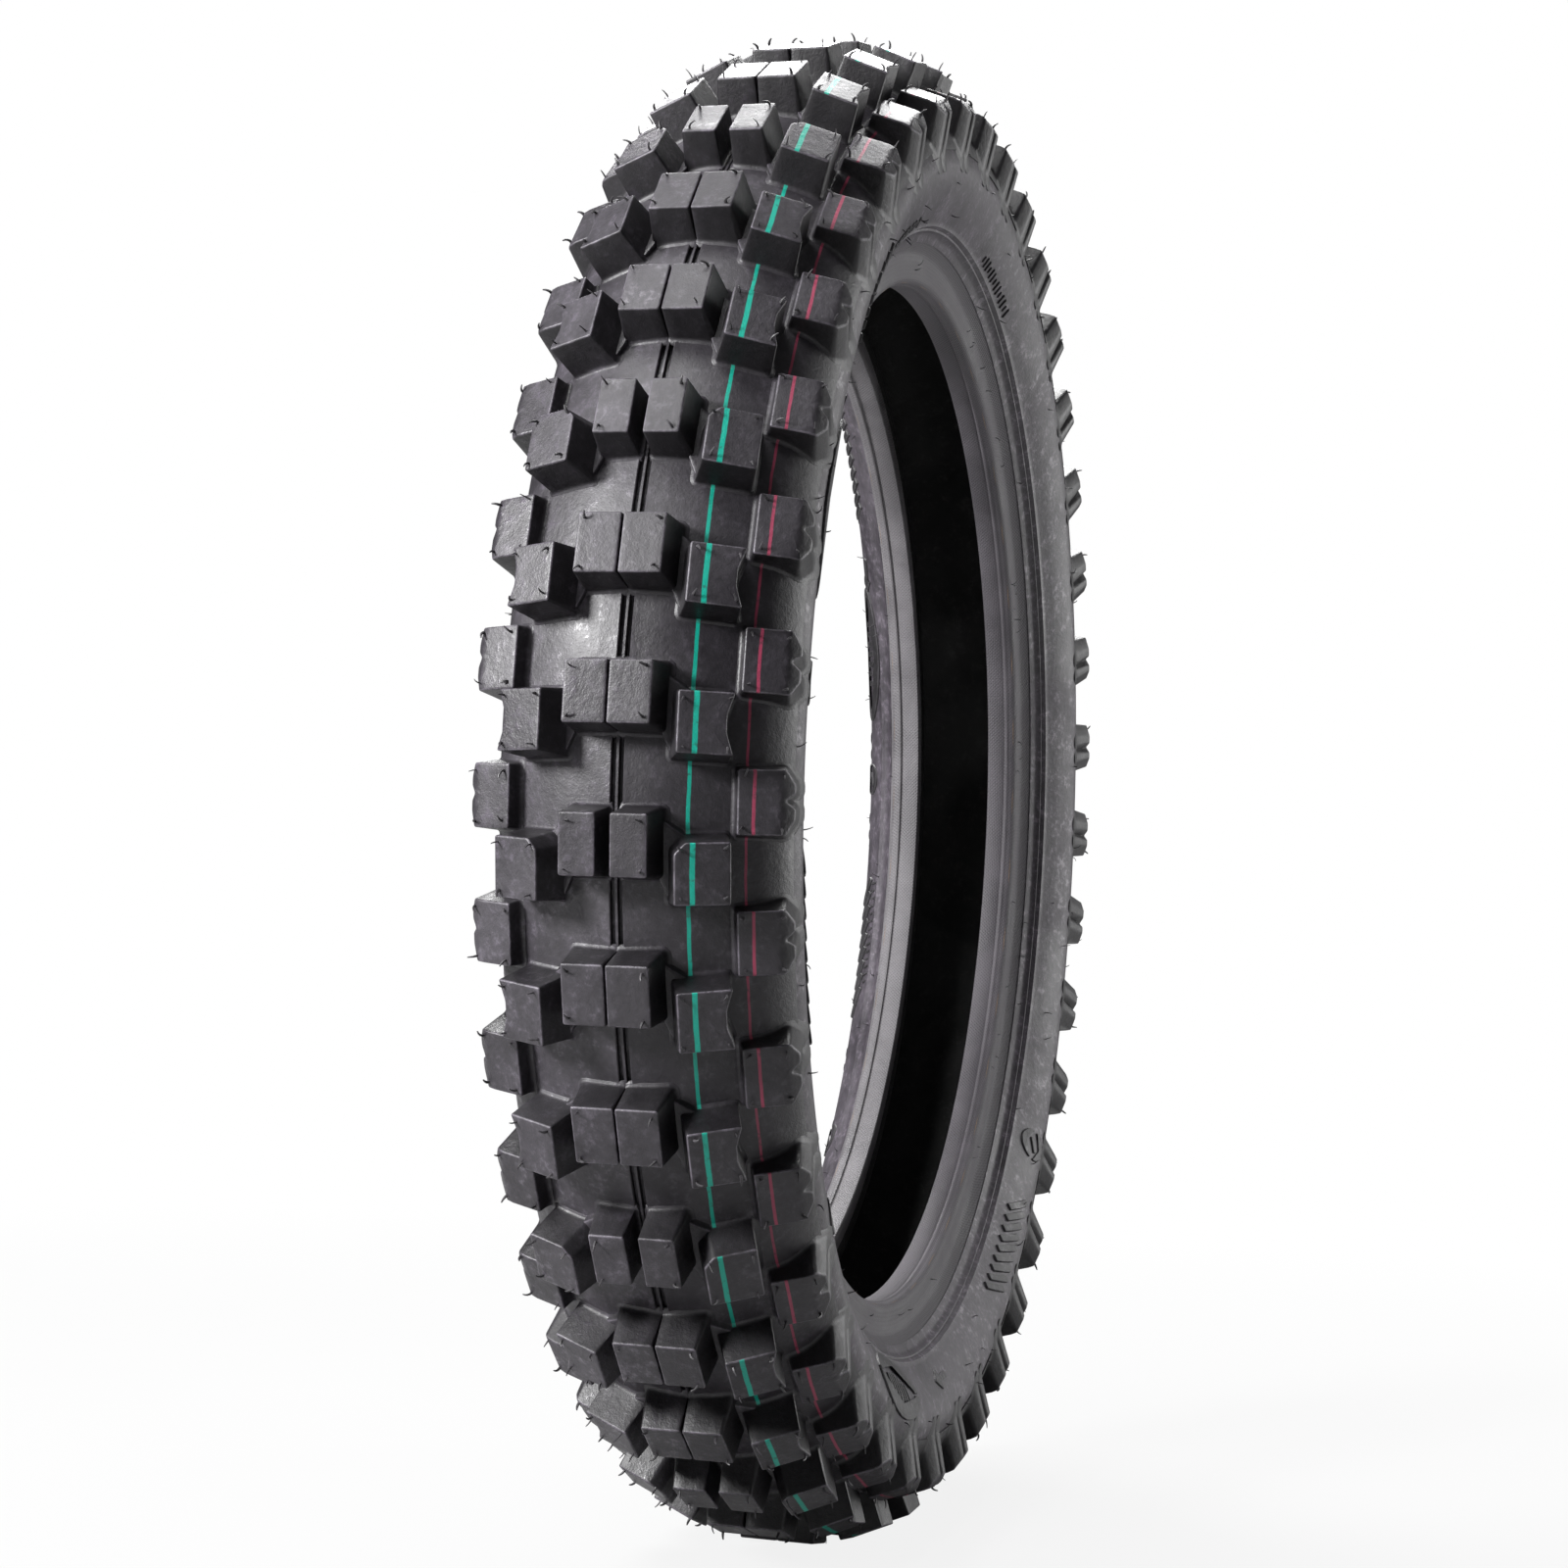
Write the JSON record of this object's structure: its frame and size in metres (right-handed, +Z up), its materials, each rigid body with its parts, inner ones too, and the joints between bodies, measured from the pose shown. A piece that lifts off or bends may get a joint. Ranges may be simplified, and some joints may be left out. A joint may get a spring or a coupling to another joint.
{
  "type": "motorcycle tire",
  "caption": "Knobby off-road rear motorcycle tire with tread, sidewalls, breaker and body plies, wire beads, fillers, chafers and liner as separate pieces.",
  "frame": {"origin": "the wheel's centre: on the axle line, midway between the two sidewalls", "axes": "+Y along the axle, out of the right-hand sidewall that the picture shows; +Z up, with the tire standing upright on -Z; the knob pattern is symmetric about the plane Y = 0"},
  "size_m": [0.6664, 0.124, 0.6658],
  "materials": {
    "tread_rubber": "moulded black rubber, satin, with a dusty release film in patches",
    "sidewall_rubber": "moulded black rubber, satin, slightly greyer than the tread",
    "undertread_rubber": "cured tie rubber, matt",
    "filler_rubber": "hard bead filler rubber, matt",
    "liner_rubber": "thin rubber coat inside the tire, dull",
    "chafer_fabric": "square-woven chafer fabric in rubber, dull",
    "breaker_cord": "dipped nylon cord in rubber",
    "ply_cord": "dipped nylon cord in rubber",
    "wrap_fabric": "woven bead wrap in rubber",
    "bead_wire": "bronze-coated steel wire"
  },
  "bodies": {
    "root": {"tread": "tread_rubber", "undertread": "undertread_rubber", "breaker_ply_2": "breaker_cord", "breaker_ply_1": "breaker_cord", "body_ply_2": "ply_cord", "body_ply_1": "ply_cord", "inner_liner": "liner_rubber", "sidewall_right": "sidewall_rubber", "sidewall_left": "sidewall_rubber", "chafer_right": "chafer_fabric", "chafer_left": "chafer_fabric", "bead_filler_right": "filler_rubber", "bead_filler_left": "filler_rubber", "bead_wrap_right": "wrap_fabric", "bead_wrap_left": "wrap_fabric", "bead_core_right": "bead_wire", "bead_core_left": "bead_wire"}
  },
  "joints": []
}
